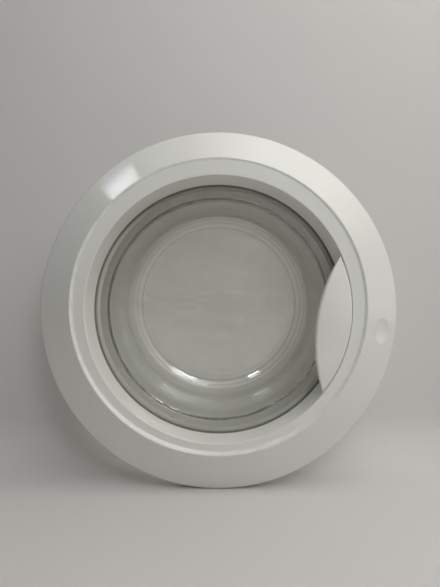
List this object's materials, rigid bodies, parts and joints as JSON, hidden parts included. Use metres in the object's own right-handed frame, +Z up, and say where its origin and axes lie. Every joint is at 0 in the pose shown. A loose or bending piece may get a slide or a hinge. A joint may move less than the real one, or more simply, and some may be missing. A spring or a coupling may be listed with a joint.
{
  "type": "washing machine door",
  "caption": "Round white porthole door of a front-loading washing machine: clear glass bowl clamped in a ring frame, hinged at one side, with a pull flap that works a latch hook.",
  "frame": {"origin": "middle of the two bolt holes of the hinge bracket, on the cabinet's front plane", "axes": "+X to the right across the door's front, +Y from the user into the machine, +Z up"},
  "size_m": [0.4, 0.1462, 0.4],
  "materials": {
    "white_gloss": "smooth moulded white plastic, slightly yellowed",
    "white_matte": "plain moulded white plastic",
    "clear_glass": "pressed clear glass",
    "plated_steel": "zinc-plated sheet and formed steel",
    "bright_steel": "ground steel pin",
    "spring_steel": "spring steel",
    "plated_screws": "plated screw",
    "bush_plastic": "natural acetal",
    "cast_metal": "die-cast, as cast"
  },
  "bodies": {
    "hinge": {"hinge_bracket": "plated_steel", "hinge_pin": "bright_steel", "hinge_pin_clip": "spring_steel"},
    "door": {"front_frame": "white_gloss", "rear_frame": "white_matte", "glass_bowl": "clear_glass", "frame_screws": "plated_screws", "hinge_leaf": "plated_steel", "hinge_bush_upper": "bush_plastic", "hinge_bush_lower": "bush_plastic", "hinge_leaf_screws": "plated_screws", "latch_bracket": "plated_steel", "latch_bracket_screws": "plated_screws", "handle_pin": "bright_steel", "handle_pin_clip": "spring_steel", "handle_spring": "spring_steel", "latch_hook_pin": "bright_steel", "latch_hook_pin_clip": "spring_steel", "latch_hook_spring": "spring_steel"},
    "handle_flap": {"handle": "white_gloss"},
    "hook": {"latch_hook": "cast_metal"}
  },
  "joints": [
    {"name": "door_swing", "type": "hinge", "parent": "hinge", "child": "door", "pos_m": [-0.0205, -0.0165, 0], "axis": [0, 0, -1], "range_deg": [0, 120]},
    {"name": "handle_pull", "type": "hinge", "parent": "door", "child": "handle_flap", "pos_m": [0.32393, -0.0305, -0.02241], "axis": [0.1392, 0, 0.9903], "range_deg": [0, 18], "stiffness_Nm_per_rad": 0.3, "springref_deg": -17.19},
    {"name": "latch_turn", "type": "hinge", "parent": "door", "child": "hook", "pos_m": [0.33879, -0.018, -0.02449], "axis": [0.1392, 0, 0.9903], "range_deg": [-18, 0], "stiffness_Nm_per_rad": 0.2, "springref_deg": 17.19}
  ],
  "couplings": [
    {"joint": "latch_turn", "follows": "handle_pull", "ratio": -1}
  ]
}
